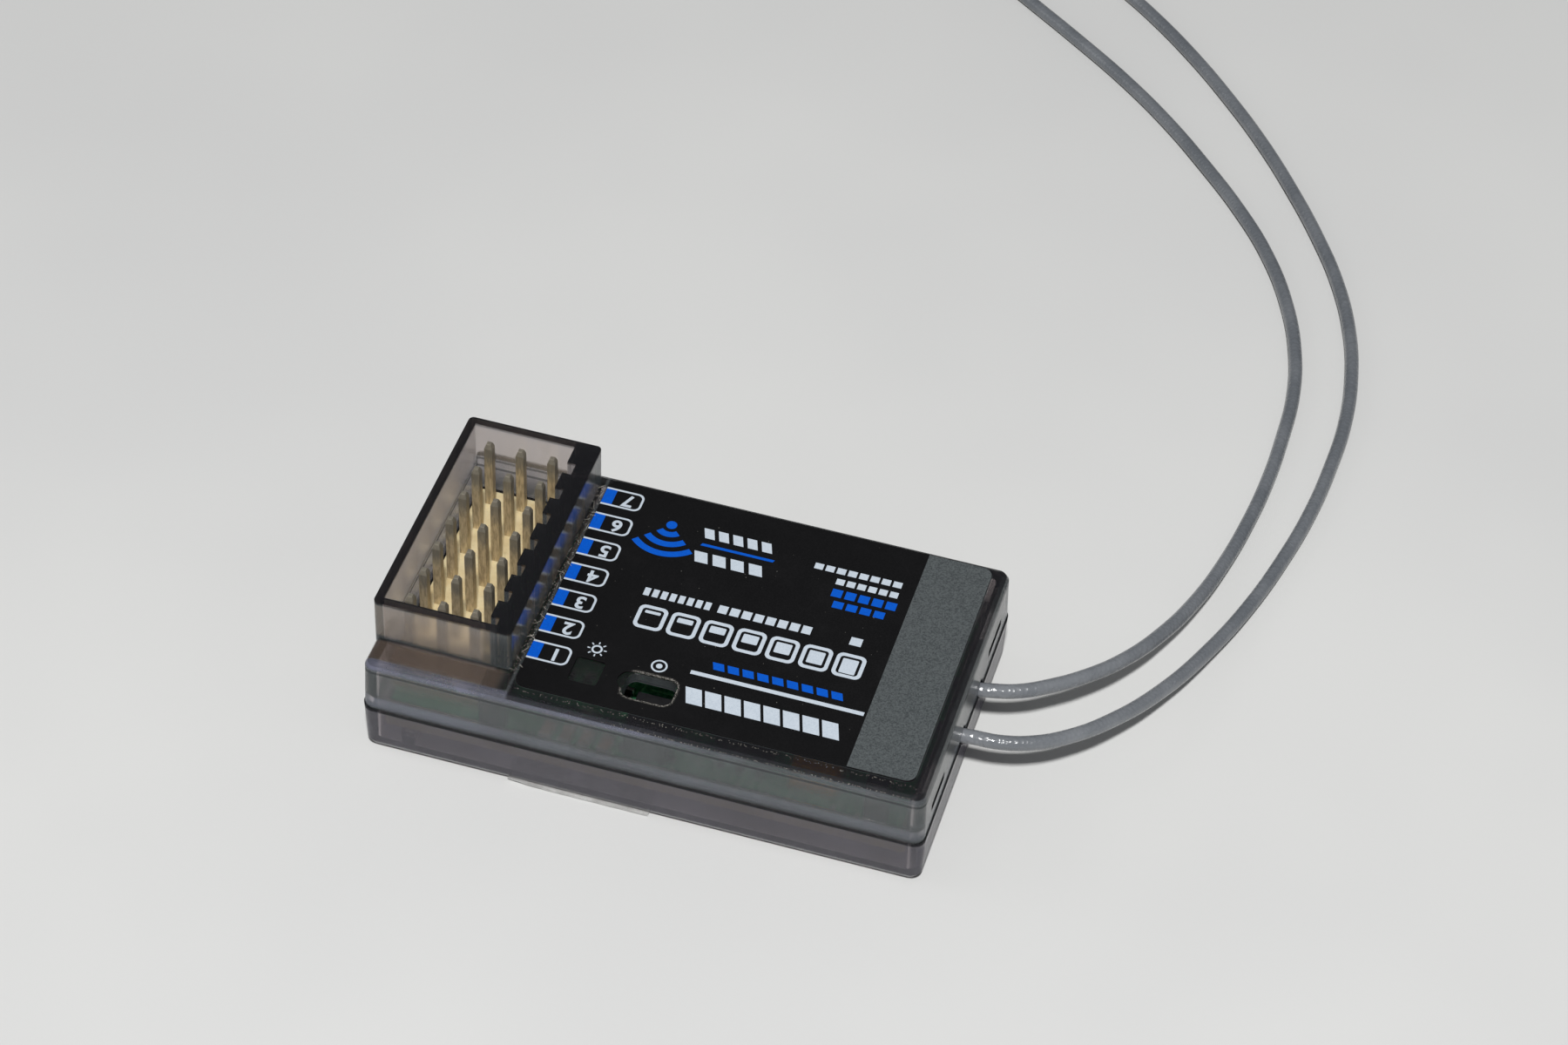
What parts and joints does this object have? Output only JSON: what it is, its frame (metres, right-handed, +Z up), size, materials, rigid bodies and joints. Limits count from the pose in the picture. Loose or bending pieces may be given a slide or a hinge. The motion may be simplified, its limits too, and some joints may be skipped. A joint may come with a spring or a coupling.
{
  "type": "radio control receiver",
  "caption": "Small clear smoke-grey radio receiver with a keyed servo plug well, a black printed label, a link button and two thin grey aerial leads.",
  "frame": {"origin": "centre of the case on the surface it lies on", "axes": "+X along the case from the plug well to the aerial end, +Y away from the link switch, +Z up out of the label"},
  "size_m": [0.0756, 0.118, 0.0124],
  "materials": {
    "smoke_clear": "clear smoke-grey moulded polycarbonate, glossy",
    "label_print": "black printed film with blue, white and grey print",
    "foil_label": "thin silver foil label",
    "board_green": "green solder mask",
    "cream_plastic": "cream nylon header base",
    "pin_gold": "dull tan gold plating, greyed at the tips",
    "solder": "bright solder",
    "black_plastic": "black moulded plastic",
    "lamp_lens": "pale diffusing lens",
    "chip_black": "moulded chip body",
    "tin_sheet": "tinned steel sheet",
    "capacitor_yellow": "amber moulded resin",
    "ceramic_tan": "fired tan ceramic",
    "coax_grey": "grey fluoropolymer jacket",
    "coax_core": "clear core insulation over a silvered wire"
  },
  "bodies": {
    "receiver": {"upper_case": "smoke_clear", "lower_case": "smoke_clear", "top_label": "label_print", "bottom_label": "foil_label", "circuit_board": "board_green", "header_base": "cream_plastic", "pin_1_signal": "pin_gold", "pin_1_power": "pin_gold", "pin_1_ground": "pin_gold", "pin_2_signal": "pin_gold", "pin_2_power": "pin_gold", "pin_2_ground": "pin_gold", "pin_3_signal": "pin_gold", "pin_3_power": "pin_gold", "pin_3_ground": "pin_gold", "pin_4_signal": "pin_gold", "pin_4_power": "pin_gold", "pin_4_ground": "pin_gold", "pin_5_signal": "pin_gold", "pin_5_power": "pin_gold", "pin_5_ground": "pin_gold", "pin_6_signal": "pin_gold", "pin_6_power": "pin_gold", "pin_6_ground": "pin_gold", "pin_7_signal": "pin_gold", "pin_7_power": "pin_gold", "pin_7_ground": "pin_gold", "pin_solder": "solder", "link_switch_body": "black_plastic", "status_light": "lamp_lens", "controller_chip": "chip_black", "radio_chip": "chip_black", "shield_can": "tin_sheet", "crystal": "tin_sheet", "aerial_switch_chip": "chip_black", "voltage_regulator": "chip_black", "reservoir_capacitor": "capacitor_yellow", "filter_capacitor": "capacitor_yellow", "chip_capacitors": "ceramic_tan", "chip_resistors": "chip_black", "aerial_clamp_1": "solder", "aerial_clamp_2": "solder", "aerial_lead_1": "coax_grey", "aerial_lead_2": "coax_grey", "aerial_tip_1": "coax_core", "aerial_tip_2": "coax_core"},
    "link_button_body": {"link_button": "black_plastic"}
  },
  "joints": [
    {"name": "link_button_press", "type": "slide", "parent": "receiver", "child": "link_button_body", "axis": [0, 0, -1], "range_m": [0, 0.00025], "stiffness_N_per_m": 2000}
  ]
}
